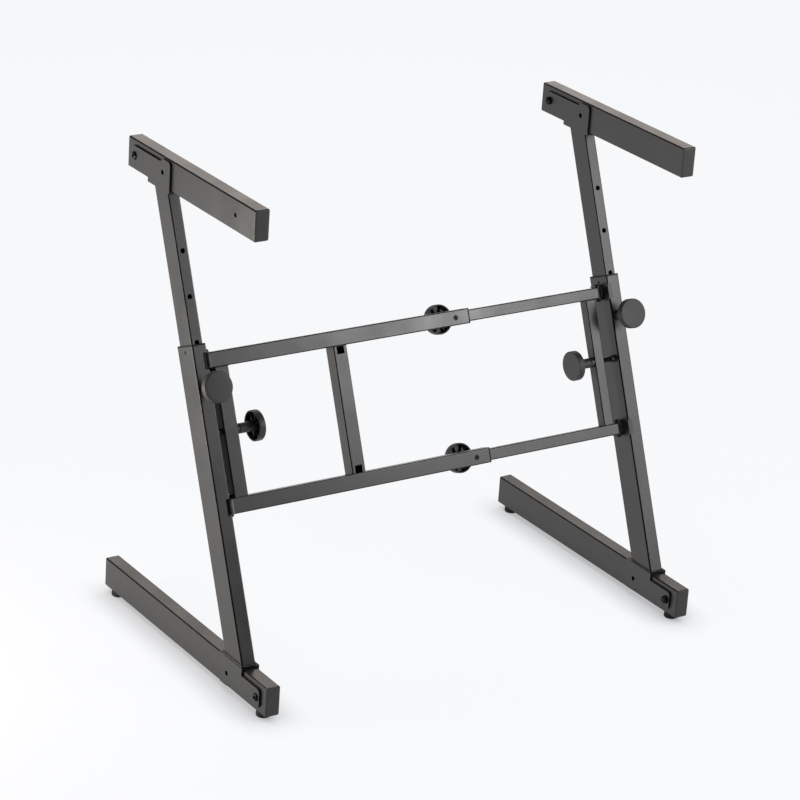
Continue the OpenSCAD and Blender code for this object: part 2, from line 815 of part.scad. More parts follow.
module frame_weld_nuts() {
    color(dark_steel) on_leg() {
        for (at = [upper_bar_at, lower_bar_at])
            translate([width_lock_x, bar_depth + bar / 2, at]) rotate([-90, 0, 0]) weld_nut();
        translate([left_post_x + post, bar_depth, fold_lock_at]) along_x() weld_nut();
    }
}

module right_post_nut() {
    color(dark_steel) mirror([1, 0, 0]) on_leg()
        translate([inner_face + right_post_gap + inner_bar, bar_depth, fold_lock_at])
            along_x() weld_nut();
}

// Plastic sleeves in the ends of the outer crossbars, with a nib in the front wall
module crossbar_bushings() {
    inside = bar - 2 * bar_wall - 2 * pin_gap;
    color(black_plastic) on_leg() for (at = [upper_bar_at, lower_bar_at])
        translate([outer_end, bar_depth, at]) difference() {
            union() {
                along_x() linear_extrude(bushing_rim) polygon(round_rect(bar, bar, bar_r));
                translate([-bushing_len, 0, 0]) along_x()
                    linear_extrude(bushing_len + bushing_rim / 2)
                        polygon(round_rect(inside, inside, bar_r - bar_wall / 2));
                translate([-width_lock_inset, 0, 0]) rotate([90, 0, 0])
                    cylinder(d = nib_d, h = bar / 2 + nib_proud);
            }
            translate([-bushing_len - over, 0, 0]) along_x()
                linear_extrude(bushing_len + bushing_rim + 2 * over)
                    polygon(round_rect(inner_bar + 2 * slide_gap, inner_bar + 2 * slide_gap,
                        bar_r + slide_gap));
            // Way for the width screw
            translate([-width_lock_inset, 0, 0]) rotate([-90, 0, 0])
                cylinder(d = stud_d + 2 * pin_gap, h = bar);
        }
}

// Plastic plugs in the hidden ends of the inner crossbars, running in the outer ones
module crossbar_guides() {
    run = bar - 2 * bar_wall - 2 * slide_gap;
    plug = inner_bar - 2 * inner_wall - 2 * pin_gap;
    color(black_plastic) on_leg() for (at = [upper_bar_at, lower_bar_at])
        translate([outer_end - overlap, bar_depth, at]) {
            translate([-guide_base, 0, 0]) along_x()
                linear_extrude(guide_base) polygon(round_rect(run, run, bar_r));
            translate([-guide_base / 2, 0, 0]) along_x()
                linear_extrude(guide_base / 2 + guide_len)
                    polygon(round_rect(plug, plug, bar_r - inner_wall / 2));
        }
}

// Knobs, drawn on the face of a tube at z = 0 and pointing away from it

// End of a knob's screw inside the knob, for the given length of neck
function stud_end(neck) = neck + knob_t - knob_face - neck_gap;

module knob(neck) {
    r = knob_d / 2;
    top = neck + knob_t;
    hollow = top - knob_face;
    color(black_plastic) difference() {
        union() {
            rotate_extrude() polygon([
                [0, weld_nut_h + neck_gap], [neck_d / 2, weld_nut_h + neck_gap],
                [neck_d / 2, hollow], [r - knob_wall, hollow], [r - knob_wall, neck],
                [r - rim_edge, neck], [r, neck + rim_edge],
                [r, top - knob_chamfer], [r - knob_chamfer, top], [0, top]
            ]);
            // Stiffening ribs between the neck and the rim
            for (i = [0:knob_ribs - 1])
                rotate([0, 0, 360 * i / knob_ribs])
                    translate([neck_d / 2 - rib_t, -rib_t / 2, neck + rib_drop])
                        cube([r - knob_wall - neck_d / 2 + 2 * rib_t, rib_t,
                            hollow - neck - rib_drop + knob_face / 2]);
        }
        translate([0, 0, -over])
            cylinder(d = stud_d + 2 * pin_gap, h = stud_end(neck) + over + pin_gap);
    }
}

// Screw of a knob with the given neck: its tip is the given length past the tube's face
module screw(tip, neck) {
    color(dark_steel) translate([0, 0, -tip]) {
        translate([0, 0, tip_edge]) cylinder(d = stud_d, h = stud_end(neck) + tip - tip_edge);
        cylinder(d1 = stud_d - 2 * tip_edge, d2 = stud_d, h = tip_edge);
    }
}

module at_height_lock() {
    on_leg() translate([leg_x, leg_front, height_lock_at]) rotate([90, 0, 0]) children();
}

module at_width_lock(at) {
    on_leg() translate([width_lock_x, bar_depth + bar / 2, at]) rotate([-90, 0, 0]) children();
}

module at_left_fold_lock() {
    on_leg() translate([left_post_x + post, bar_depth, fold_lock_at]) along_x() children();
}

module at_right_fold_lock() {
    mirror([1, 0, 0]) on_leg()
        translate([inner_face + right_post_gap + inner_bar, bar_depth, fold_lock_at])
            along_x() children();
}

height_tip = mast_front - leg_front - tip_gap;
width_tip = (bar - inner_bar) / 2 - tip_gap;
left_fold_tip = post + left_post_gap - fold_boss_h - tip_gap;
right_fold_tip = inner_bar + right_post_gap - fold_boss_h - tip_gap;

leg_tube(false);  // left_leg_tube
foot_bracket(false);  // left_foot_bracket
hinge_brackets(false);  // left_hinge_brackets
hinge_pins(false);  // left_hinge_pins
leg_bushing(false);  // left_leg_bushing
leg_weld_nuts(false);  // left_leg_weld_nuts
at_height_lock() screw(height_tip, knob_neck);  // left_height_screw
at_height_lock() knob(knob_neck);  // left_height_knob
foot_pivot_bolt(false);  // left_foot_pivot_bolt
foot_tube(false);  // left_foot_tube
foot_end_caps(false);  // left_foot_end_caps
foot_pads(false);  // left_foot_pads
foot_snap_button(false);  // left_foot_snap_button
mast_tube(false);  // left_mast_tube
mast_guide(false);  // left_mast_guide
arm_bracket(false);  // left_arm_bracket
arm_pivot_bolt(false);  // left_arm_pivot_bolt
arm_tube(false);  // left_arm_tube
arm_end_caps(false);  // left_arm_end_caps
arm_snap_button(false);  // left_arm_snap_button
leg_tube(true);  // right_leg_tube
foot_bracket(true);  // right_foot_bracket
hinge_brackets(true);  // right_hinge_brackets
hinge_pins(true);  // right_hinge_pins
leg_bushing(true);  // right_leg_bushing
leg_weld_nuts(true);  // right_leg_weld_nuts
handed(true) at_height_lock() screw(height_tip, knob_neck);  // right_height_screw
handed(true) at_height_lock() knob(knob_neck);  // right_height_knob
foot_pivot_bolt(true);  // right_foot_pivot_bolt
foot_tube(true);  // right_foot_tube
foot_end_caps(true);  // right_foot_end_caps
foot_pads(true);  // right_foot_pads
foot_snap_button(true);  // right_foot_snap_button
mast_tube(true);  // right_mast_tube
mast_guide(true);  // right_mast_guide
arm_bracket(true);  // right_arm_bracket
arm_pivot_bolt(true);  // right_arm_pivot_bolt
arm_tube(true);  // right_arm_tube
arm_end_caps(true);  // right_arm_end_caps
arm_snap_button(true);  // right_arm_snap_button
outer_crossbar(upper_bar_at);  // upper_outer_crossbar
outer_crossbar(lower_bar_at);  // lower_outer_crossbar
left_post();
middle_post();
frame_weld_nuts();
crossbar_bushings();
at_width_lock(upper_bar_at) screw(width_tip, width_neck);  // upper_width_screw
at_width_lock(upper_bar_at) knob(width_neck);  // upper_width_knob
at_width_lock(lower_bar_at) screw(width_tip, width_neck);  // lower_width_screw
at_width_lock(lower_bar_at) knob(width_neck);  // lower_width_knob
at_left_fold_lock() screw(left_fold_tip, knob_neck);  // left_fold_screw
at_left_fold_lock() knob(knob_neck);  // left_fold_knob
inner_crossbar(upper_bar_at);  // upper_inner_crossbar
inner_crossbar(lower_bar_at);  // lower_inner_crossbar
crossbar_guides();
right_post();
right_post_nut();
at_right_fold_lock() screw(right_fold_tip, knob_neck);  // right_fold_screw
at_right_fold_lock() knob(knob_neck);  // right_fold_knob
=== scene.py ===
# %% [markdown]
# # Folding keyboard stand
#
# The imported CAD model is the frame: every tube, bracket and joint already has its place and size.
# This notebook gives the frame its finishes, puts finer pieces in place of the knobs, screws,
# bolts, pins, caps and pads, adds the weld beads and two nose plates, and lights it all like a
# catalogue picture.

import json
import math

import bmesh
import bpy
import numpy as np
from mathutils import Matrix, Vector


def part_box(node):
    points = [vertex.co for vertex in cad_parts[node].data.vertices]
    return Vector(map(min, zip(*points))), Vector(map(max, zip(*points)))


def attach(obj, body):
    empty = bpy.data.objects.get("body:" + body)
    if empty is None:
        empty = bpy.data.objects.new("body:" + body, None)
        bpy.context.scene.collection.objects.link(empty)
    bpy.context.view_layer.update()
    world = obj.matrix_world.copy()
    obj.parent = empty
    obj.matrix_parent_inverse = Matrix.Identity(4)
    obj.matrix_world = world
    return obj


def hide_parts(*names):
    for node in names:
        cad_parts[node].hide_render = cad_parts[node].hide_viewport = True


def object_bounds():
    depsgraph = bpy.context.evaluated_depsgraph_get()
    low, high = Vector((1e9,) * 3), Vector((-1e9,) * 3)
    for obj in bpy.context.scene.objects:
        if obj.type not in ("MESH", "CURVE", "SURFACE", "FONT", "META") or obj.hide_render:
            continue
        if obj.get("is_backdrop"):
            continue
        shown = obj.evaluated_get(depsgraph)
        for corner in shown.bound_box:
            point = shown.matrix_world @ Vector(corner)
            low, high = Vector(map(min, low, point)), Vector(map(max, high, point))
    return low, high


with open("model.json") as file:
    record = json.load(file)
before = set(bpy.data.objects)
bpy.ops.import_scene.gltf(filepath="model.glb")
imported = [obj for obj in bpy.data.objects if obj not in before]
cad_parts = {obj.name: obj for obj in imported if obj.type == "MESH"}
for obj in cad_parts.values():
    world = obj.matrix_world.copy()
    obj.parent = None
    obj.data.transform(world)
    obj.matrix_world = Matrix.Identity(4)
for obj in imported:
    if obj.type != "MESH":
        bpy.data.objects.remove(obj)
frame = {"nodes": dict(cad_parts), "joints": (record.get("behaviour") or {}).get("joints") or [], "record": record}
cad_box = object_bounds()
joints = {joint["name"]: joint for joint in frame["joints"]}
MM = 0.001
SIDES = ("left", "right")
LIMBS = ("foot", "arm")
HALVES = ("lower", "upper")

# %% [markdown]
# ## Camera
#
# The lens is long and the camera stands to the left of the stand and above it, rolled by four
# degrees. All of these numbers describe one view, so they are kept together.

# %% Camera
IMAGE_MM = 36.0
LENS_MM = 143.294
AZIMUTH, ELEVATION, ROLL = (math.radians(a) for a in (-34.463, 22.186, 3.939))
CAMERA_AT = Vector((-2.74209, -3.96467, 2.33824))
FARTHEST = 60.0


def make_camera():
    """Camera whose axes come from azimuth, elevation and roll: back points from the scene to it."""
    back = Vector((math.sin(AZIMUTH) * math.cos(ELEVATION),
                   -math.cos(AZIMUTH) * math.cos(ELEVATION), math.sin(ELEVATION)))
    right = Vector((math.cos(AZIMUTH), math.sin(AZIMUTH), 0))
    up = back.cross(right)
    turned = (math.cos(ROLL) * right + math.sin(ROLL) * up,
              math.cos(ROLL) * up - math.sin(ROLL) * right)
    camera = bpy.data.objects.new("camera", bpy.data.cameras.new("camera"))
    camera.data.sensor_width = IMAGE_MM
    camera.data.lens = LENS_MM
    camera.data.clip_end = FARTHEST
    axes = Matrix((turned[0], turned[1], back)).transposed()
    camera.matrix_world = Matrix.Translation(CAMERA_AT) @ axes.to_4x4()
    bpy.context.scene.collection.objects.link(camera)
    bpy.context.scene.camera = camera
    print("camera", round(CAMERA_AT.length, 2), "m away, lens", round(LENS_MM), "mm")


make_camera()

# %% [markdown]
# ## Finishes
#
# Colours are typed as the sRGB values that a paint chart gives and turned into linear light by
# one function. Every pattern has its size in millimetres, measured on the object itself. A finish
# can carry painted shade: near-black lines at the rounded corners of a tube and at the cut edges
# of a plate, which stand in for the dark reflections there. It finds them from the surface's own
# direction on the object.

# %% Helpers for node materials
LEAN = math.atan2(joints["left_height_slide"]["axis"][1], joints["left_height_slide"]["axis"][2])
CLOUD_MM = 70.0


def linear(hex_colour, share=1.0):
    """sRGB hex to linear RGBA, times a share: the standard curve with its straight part."""
    v = np.array([int(hex_colour[i:i + 2], 16) for i in (1, 3, 5)]) / 255
    v = np.where(v <= 0.04045, v / 12.92, ((v + 0.055) / 1.055) ** 2.4) * share
    return (*v.tolist(), 1.0)


def add(tree, kind, inputs=(), **settings):
    """One shader node, with its settings and the values or links of its inputs."""
    node = tree.nodes.new("ShaderNode" + kind)
    for key, value in settings.items():
        setattr(node, key, value)
    for key, value in dict(inputs).items():
        if isinstance(value, bpy.types.NodeSocket):
            tree.links.new(value, node.inputs[key])
        else:
            node.inputs[key].default_value = value
    return node


print("the legs lean back by", round(math.degrees(LEAN), 1), "degrees")

# %% Painted shade at corners and cut edges
# Parts of the surface's unit direction between which the painted shade runs from darkest to full tone
PAINTED_CORNER_SPAN, PAINTED_EDGE_SPAN = (0.88, 0.998), (0.5, 0.98)
LEVEL_PAINTED_DARKEST, LEANING_PAINTED_DARKEST, PAINTED_EDGE_DARKEST = 0.15, 0.04, 0.3


def mapped(tree, value, start, end, low, high):
    """The value's span from start to end stretched to low and high."""
    return add(tree, "MapRange", {"Value": value, "From Min": start, "From Max": end,
                                  "To Min": low, "To Max": high}).outputs["Result"]


def leaned(tree, vector):
    """A vector given in the legs' own axes: across, back from the front, up the leg."""
    return add(tree, "VectorRotate", {"Vector": vector, "Angle": LEAN},
               rotation_type="X_AXIS").outputs["Vector"]


def painted_corner_shade(tree, normal, darkest):
    """Painted shade: 1 where the surface faces along an axis, and darkest halfway between two axes."""
    split = add(tree, "SeparateXYZ", {0: add(tree, "VectorMath", {0: normal},
                                             operation="ABSOLUTE").outputs[0]})
    two = add(tree, "Math", {0: split.outputs[0], 1: split.outputs[1]}, operation="MAXIMUM")
    three = add(tree, "Math", {0: two.outputs[0], 1: split.outputs[2]}, operation="MAXIMUM")
    return mapped(tree, three.outputs[0], *PAINTED_CORNER_SPAN, darkest, 1.0)


def level_tube_painted_shade(tree, coords):
    """Painted shade of a level tube: dark lines at its corners."""
    return painted_corner_shade(tree, coords.outputs["Normal"], LEVEL_PAINTED_DARKEST)


def leaning_tube_painted_shade(tree, coords):
    """Painted shade of a tube that follows the legs' axes: dark lines at its corners."""
    return painted_corner_shade(tree, leaned(tree, coords.outputs["Normal"]), LEANING_PAINTED_DARKEST)


def bent_plate_painted_edge_shade(tree, coords):
    """Painted shade of a plate square to X: dark lines at its cut edges."""
    across = add(tree, "SeparateXYZ", {0: coords.outputs["Normal"]}).outputs[0]
    flat = add(tree, "Math", {0: across}, operation="ABSOLUTE").outputs[0]
    return mapped(tree, flat, *PAINTED_EDGE_SPAN, PAINTED_EDGE_DARKEST, 1.0)


# %% One function for every finish
CLOUD_SPAN, WORN_SPAN = (0.3, 0.7), (0.55, 0.75)
STREAK_MM, STREAK_LONG_MM, POLISH = 0.5, 90.0, 0.08
# Near-black of the painted shade at corners and cut edges
PAINTED_SHADE_TONE = (0.002, 0.002, 0.002, 1)


def finish(name, colour, rough, grain_mm, grain_high_mm, mottle=0.12, rough_spread=0.05,
           shade=None, rubbed=None, specular=0.5, **shader):
    """A finish with a fine surface grain, uneven tone and roughness, and thin corners or wear.

    shade is a function that gives the share of full tone left at each point: a painted shade that
    darkens the colour and takes away the sheen there. rubbed holds the direction, in the legs' axes,
    in which a sliding tube is polished into fine streaks, which take POLISH off its roughness. The
    spans are the parts of a noise's range that are stretched.
    """
    material = bpy.data.materials.new(name)
    material.use_nodes = True
    tree = material.node_tree
    tree.nodes.clear()
    coords = add(tree, "TexCoord")
    where = coords.outputs["Object"]
    grain = add(tree, "TexNoise", {"Vector": where, "Scale": 1 / (grain_mm * MM), "Detail": 2.0})
    cloud = add(tree, "TexNoise", {"Vector": where, "Scale": 1 / (CLOUD_MM * MM), "Detail": 3.0})
    uneven = mapped(tree, cloud.outputs["Fac"], *CLOUD_SPAN, 0.0, 1.0)
    roughness = mapped(tree, uneven, 0, 1, rough - rough_spread, rough + rough_spread)
    tone = add(tree, "Mix", {"Factor": uneven, "A": linear(colour, 1 - mottle),
                             "B": linear(colour, 1 + mottle)}, data_type="RGBA")
    base = tone.outputs["Result"]
    level = specular
    if rubbed:
        pitch = [1 / (STREAK_LONG_MM * MM) if along else 1 / (STREAK_MM * MM) for along in rubbed]
        run = add(tree, "Mapping", {"Vector": leaned(tree, where), "Scale": pitch})
        streak = add(tree, "TexNoise", {"Vector": run.outputs[0], "Scale": 1.0, "Detail": 1.0})
        worn = mapped(tree, streak.outputs["Fac"], *WORN_SPAN, 0.0, 1.0)
        roughness = add(tree, "Math", {0: roughness, 1: mapped(tree, worn, 0, 1, 0.0, POLISH)},
                        operation="SUBTRACT").outputs[0]
    # Painted shade: darkens the colour and takes the sheen away at corners and cut edges
    if shade:
        left = shade(tree, coords)
        base = add(tree, "Mix", {"Factor": left, "A": PAINTED_SHADE_TONE, "B": base},
                   data_type="RGBA").outputs["Result"]
        level = mapped(tree, left, 0, 1, 0.0, specular)
    bump = add(tree, "Bump", {"Height": grain.outputs["Fac"], "Distance": grain_high_mm * MM,
                              "Strength": 1.0})
    surface = add(tree, "BsdfPrincipled", {"Base Color": base, "Normal": bump.outputs[0],
                                           "Roughness": roughness, "Specular IOR Level": level,
                                           **shader})
    out = add(tree, "OutputMaterial")
    tree.links.new(surface.outputs[0], out.inputs["Surface"])
    return material


# %% Finishes
# Powder coat on rolled tube: a broad, soft highlight over a faint orange peel of 0.8 mm, which is
# as fine as on the real coat. On the legs and posts the dark lines at the corners are painted shade.
COAT = {"colour": "#262524", "rough": 0.32, "grain_mm": 0.8, "grain_high_mm": 0.006}
leg_coat = finish("satin_black_powder_coat", shade=leaning_tube_painted_shade, **COAT)
# Masts and inner crossbars slide in their tubes and get lines that shine a little more along them.
# The streaks are drawn coarser than real scratches, which would be too fine for the camera.
slid_coat = finish("rubbed_powder_coat_of_mast", shade=leaning_tube_painted_shade, rubbed=(0, 0, 1), **COAT)
bar_coat = finish("rubbed_powder_coat_of_bar", shade=leaning_tube_painted_shade, rubbed=(1, 0, 0), **COAT)
# Feet and arms lie level, so that the same painted dark corner lines follow the level axes
limb_coat = finish("satin_powder_coat_of_feet_and_arms", shade=level_tube_painted_shade, **COAT)
# Bent plate: as even as the tubes, with painted shade on its cut edges that sets it off from the tube behind it
plate_coat = finish("powder_coat_of_bent_plate", shade=bent_plate_painted_edge_shade, **COAT)
# Hinge brackets, nuts and beads are small and rough under the paint: darker, with a dull sheen
small_coat = finish("powder_coat_of_small_steel", "#1c1b1b", 0.42, 0.6, 0.008)
# Eroded mould grain on knobs and caps breaks the highlight into a soft haze. It is drawn coarser
# than the real grain of about 0.3 mm, so that it shows.
moulded = finish("fine_grained_black_plastic", "#252424", 0.48, 0.7, 0.05, specular=0.46)
# Smooth nylon of bushings and guides: a deep black line round each sliding tube
sleeve = finish("smooth_black_nylon", "#0e0e0f", 0.45, 0.5, 0.01, specular=0.12)
# Rubber of the pads: hardly any sheen, so that the feet end in plain dark discs
rubber = finish("matte_black_rubber", "#161617", 0.75, 0.6, 0.03, specular=0.3)
# Black plating on screws, bolts, pins and buttons: bare metal, with the default IOR, that mirrors
# the studio darkly and sparkles along the threads
plated = finish("black_plated_steel", "#1f1f20", 0.34, 0.4, 0.004, Metallic=1.0)
# Nose plates: a pale, dull colour that is a painted highlight on the crossbars' ends
nose_highlight = finish("pale_nose_plate_painted_highlight", "#b4b3ae", 0.6, 0.5, 0.006)
BY_SLOT = {"black_painted_steel": leg_coat, "black_plastic": sleeve, "black_rubber": rubber,
           "dark_steel": plated}
BY_KIND = {"foot_tube": limb_coat, "arm_tube": limb_coat, "mast_tube": slid_coat,
           "inner_crossbar": bar_coat, "foot_bracket": plate_coat, "arm_bracket": plate_coat,
           "hinge_brackets": small_coat, "weld_nuts": small_coat, "post_nut": small_coat,
           "knob": moulded, "end_caps": moulded}
print(len(bpy.data.materials), "finishes")


# %% Dress the frame
def dress_frame():
    """Gives every node of the frame the finish of its kind, or else of its material slot."""
    for part in frame["record"]["subparts"]:
        node = part["node"]
        kinds = [kind for kind in BY_KIND if node.endswith(kind)]
        mesh = frame["nodes"][node].data
        mesh.materials.clear()
        mesh.materials.append(BY_KIND[kinds[0]] if kinds else BY_SLOT[part["material_slot"]])
        print(f"{node:24} {mesh.materials[0].name}")


dress_frame()

# %% [markdown]
# ## Surfaces
#
# Every new piece is a stack of closed outlines, given as one array of rows, columns and XYZ in
# millimetres. Each row is an outline and the faces join each row to the next. A row whose points
# all meet closes the surface. The places of the pieces are measured on the frame's nodes.

# %% Closed outlines
TURN = 2 * np.pi


def circle(count):
    """Unit circle of count points, anticlockwise from the first axis."""
    turn = np.arange(count) * TURN / count
    return np.stack((np.cos(turn), np.sin(turn)), -1)


def hexagon(count):
    """Unit circle stretched to a hexagon: the radius is 1 / cos of the angle off a flat."""
    turn = np.arange(count) * TURN / count
    off_flat = (turn + TURN / 12) % (TURN / 6) - TURN / 12
    return circle(count) / np.cos(off_flat)[:, None]


def round_rect(a, b, r, steps=6):
    """Rectangle a by b with round corners: quarter circles round the four inner corners."""
    turn = (np.arange(4)[:, None] + np.arange(steps + 1) / steps) * TURN / 4
    inner = np.array(((1, 1), (-1, 1), (-1, -1), (1, -1)))[:, None] * (a / 2 - r, b / 2 - r)
    return (inner + r * np.stack((np.cos(turn), np.sin(turn)), -1)).reshape(-1, 2)


def soften(corners, radii, steps=5):
    """Open outline with rounded corners: at each, a quadratic curve pulled towards the corner."""
    corners = np.asarray(corners, float)
    t = np.linspace(0, 1, steps)[:, None]
    rows = [corners[:1]]
    for before, corner, after, r in zip(corners, corners[1:], corners[2:], radii):
        start = corner + (before - corner) * r / np.linalg.norm(before - corner)
        end = corner + (after - corner) * r / np.linalg.norm(after - corner)
        rows.append((1 - t) ** 2 * start + 2 * t * (1 - t) * corner + t ** 2 * end)
    return np.concatenate(rows + [corners[-1:]])


# %% Outlines to grids
def stack(outlines, heights):
    """Rows of closed 2-D outlines, each at its height, as one grid of points."""
    outlines = np.asarray(outlines, float)
    heights = np.broadcast_to(np.asarray(heights, float)[:, None, None], (*outlines.shape[:2], 1))
    return np.concatenate((outlines, heights), -1)


def revolve(profile, count=64):
    """Surface of revolution of a profile of radius and height."""
    profile = np.asarray(profile, float)
    return stack(profile[:, :1, None] * circle(count), profile[:, 1])


def put(grid, at, axis, across=(1, 0, 0)):
    """A grid moved so that its height runs along axis from at, with its first axis near across."""
    axis = np.asarray(axis, float)
    first = np.asarray(across, float) - np.dot(across, axis) * axis
    first = first / np.linalg.norm(first)
    return np.asarray(at) + grid @ np.stack((first, np.cross(axis, first), axis))


# %% Grids to pieces
CREASE, MERGE_MM = 35, 0.002


def make_piece(name, grids, material, body, nodes=(), crease=CREASE):
    """One mesh from grids in millimetres that rides on a body and stands for the given nodes."""
    corners, faces, start = [], [], 0
    for grid in grids:
        rows, columns = grid.shape[:2]
        index = start + np.arange(rows * columns).reshape(rows, columns)
        beside = np.roll(index, -1, 1)
        faces.append(np.stack((index[:-1], beside[:-1], beside[1:], index[1:]), -1).reshape(-1, 4))
        corners.append(grid.reshape(-1, 3) * MM)
        start += rows * columns
    mesh = bpy.data.meshes.new(name)
    mesh.from_pydata(np.concatenate(corners), [], np.concatenate(faces))
    work = bmesh.new()
    work.from_mesh(mesh)
    bmesh.ops.remove_doubles(work, verts=work.verts, dist=MERGE_MM * MM)
    bmesh.ops.recalc_face_normals(work, faces=work.faces)
    work.to_mesh(mesh)
    work.free()
    mesh.shade_smooth()
    mesh.set_sharp_from_angle(angle=math.radians(crease))
    mesh.materials.append(material)
    piece = bpy.data.objects.new(name, mesh)
    bpy.context.scene.collection.objects.link(piece)
    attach(piece, body)
    if nodes:
        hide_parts(*nodes)
    print(f"{name:34} {len(mesh.polygons):6} faces, on {body}")


# %% Places on the frame
def points(node):
    """A node's corners at rest, in millimetres."""
    mesh = frame["nodes"][node].data
    flat = np.empty(len(mesh.vertices) * 3, np.float32)
    mesh.vertices.foreach_get("co", flat)
    return flat.reshape(-1, 3).astype(float) / MM


def reach(node, at, axis):
    """Lowest and highest place of a node along an axis from at."""
    along = (points(node) - at) @ np.asarray(axis)
    return along.min(), along.max()


# The legs' own axes: across, back from the front, up the leg, from the middle of the feet's pivots
UP_LEG = np.array(joints["left_height_slide"]["axis"])
ACROSS = np.array((1.0, 0.0, 0.0))
LEG_AXES = np.stack((ACROSS, np.cross(UP_LEG, ACROSS), UP_LEG))
LEG_AT = np.array(joints["left_foot_fold"]["pos_m"]) / MM * (0, 1, 1)


def leg_box(node, pick=None):
    """Lowest and highest corner of a node, in the legs' axes; pick chooses its upper or lower half."""
    there = (points(node) - LEG_AT) @ LEG_AXES.T
    if pick:
        upper = there[:, 2] > (there[:, 2].min() + there[:, 2].max()) / 2
        there = there[upper if pick == "upper" else ~upper]
    return there.min(0), there.max(0)


def on_leg(across, back, up):
    """A place given in the legs' axes, in the stand's frame."""
    return LEG_AT + np.stack(np.broadcast_arrays(across, back, up), -1) @ LEG_AXES


print("left leg tube, in its own axes:", *(corner.round(1) for corner in leg_box("left_leg_tube")))

# %% [markdown]
# ## Knobs and screws
#
# A knob is one moulded shell: a neck, a hollow back with ribs, and a slightly crowned face with a
# soft edge. Its screw has a rolled thread, whose radius follows the angle round the screw minus
# the height in pitches, so that the crest climbs one pitch with each turn. A knob could be a few
# joined cylinders, but one outline turned round it gives every edge its own softness.

# %% Knob shell
KNOB_R, KNOB_T, KNOB_WALL, KNOB_FACE = 25.0, 12.0, 2.5, 3.5
NECK_R, BORE_R, BORE_DEEP, KNOB_CROWN = 8.25, 4.2, 8.0, 0.5
DRAFT, FACE_ROWS, KNOB_COLUMNS = 0.3, 8, 96
SHELL_ROUNDS = (0.3, 0.3, 0.8, 1.5, 1.2, 0.6, 0.9, 1.8)


def knob_shell(low, top):
    """Shell of revolution from the neck's end, through the hollow and round the rim to the face."""
    rim, hollow = top - KNOB_T, top - KNOB_FACE
    inner = KNOB_R - KNOB_WALL
    walls = soften([(0, low + BORE_DEEP), (BORE_R, low + BORE_DEEP), (BORE_R, low), (NECK_R, low),
                    (NECK_R + DRAFT, hollow), (inner, hollow), (inner + DRAFT, rim), (KNOB_R, rim),
                    (KNOB_R, top - KNOB_CROWN), (0, top - KNOB_CROWN)],
                   SHELL_ROUNDS)[:-1]
    across = np.linspace(walls[-1, 0], 0, FACE_ROWS)[1:]
    face = np.stack((across, top - KNOB_CROWN * (across / KNOB_R) ** 2), -1)
    return revolve(np.concatenate((walls, face)), KNOB_COLUMNS)


# %% Ribs in the knob's back
RIBS, RIB_T, RIB_DROP, RIB_SAG = 8, 1.4, 2.0, 1.6
RIB_SUNK, RIB_FOOT, RIB_POWER, RIB_ROWS = 1.0, 0.25, 0.4, 9


def knob_rib(low, top, turn):
    """Rib sunk into neck, rim and face: a wedge with a round crest that sags between its ends."""
    along = np.linspace(0, 1, RIB_ROWS)[:, None]
    round_crest = np.linspace(0, np.pi, RIB_ROWS)[None]
    out = NECK_R - RIB_SUNK + along * (KNOB_R - KNOB_WALL - NECK_R + 2 * RIB_SUNK)
    half = RIB_T / 2 * np.cos(round_crest) * (1 + RIB_FOOT * (1 - np.sin(round_crest)))
    crest = top - KNOB_T + RIB_DROP + RIB_SAG * 4 * along * (1 - along)
    root = top - KNOB_FACE + RIB_SUNK
    high = root - (root - crest) * np.sin(round_crest) ** RIB_POWER
    rib = np.stack(np.broadcast_arrays(out, half, high), -1)
    spin = np.array(((np.cos(turn), np.sin(turn), 0), (-np.sin(turn), np.cos(turn), 0), (0, 0, 1)))
    return rib @ spin


# %% Screw thread
STUD_R, THREAD_PITCH, THREAD_DEEP, THREAD_STEPS, THREAD_COLUMNS = 4.0, 1.25, 0.55, 8, 32
CREST_SHARP, LEAD_MM, LEAD_SHARE, THREAD_CREASE = 0.94, 1.2, 0.22, 60


def thread(low, high):
    """Screw from low to high: radius is a softened triangle wave of the turn less the height.

    The first millimetre tapers, which leads a real screw into its nut.
    """
    rows = np.linspace(low, high, int((high - low) / THREAD_PITCH * THREAD_STEPS))
    columns = np.arange(THREAD_COLUMNS) * TURN / THREAD_COLUMNS
    wave = np.cos(columns[None] - rows[:, None] * TURN / THREAD_PITCH)
    depth = THREAD_DEEP * (0.5 - np.arcsin(CREST_SHARP * wave) / np.pi)
    taper = np.maximum(0, 1 - (rows - low) / LEAD_MM)[:, None]
    r = (STUD_R - depth) * (1 - LEAD_SHARE * taper)
    ring = np.stack((r * np.cos(columns), r * np.sin(columns)), -1)
    ring = np.concatenate((0 * ring[:1], ring, 0 * ring[-1:]))
    return stack(ring, np.concatenate((rows[:1], rows, rows[-1:])))


# %% The six clamping knobs and their screws
LOCKS = ("left_height", "right_height", "upper_width", "lower_width", "left_fold", "right_fold")
for lock in LOCKS:
    joint = joints[lock + "_turn"]
    at, axis = np.array(joint["pos_m"]) / MM, joint["axis"]
    low, top = reach(lock + "_knob", at, axis)
    turns = (np.arange(RIBS) + 0.5) * TURN / RIBS
    knob = [knob_shell(low, top)] + [knob_rib(low, top, turn) for turn in turns]
    make_piece(lock + "_knob_moulding", [put(grid, at, axis, UP_LEG) for grid in knob], moulded,
               lock + "_knob", (lock + "_knob",))
    screw = thread(*reach(lock + "_screw", at, axis))
    make_piece(lock + "_screw_thread", [put(screw, at, axis, UP_LEG)], plated, lock + "_screw",
               (lock + "_screw",), crease=THREAD_CREASE)

# %% [markdown]
# ## Bolts, pins, caps and pads
#
# Each is turned or lofted from its own outlines: a domed head with a hexagon socket, a lock nut
# with chamfered corners and its nylon ring, a cap with a pillowed face, a pad with a groove. Plain
# discs and boxes would do from afar, but the chamfers are what catches the light close by.

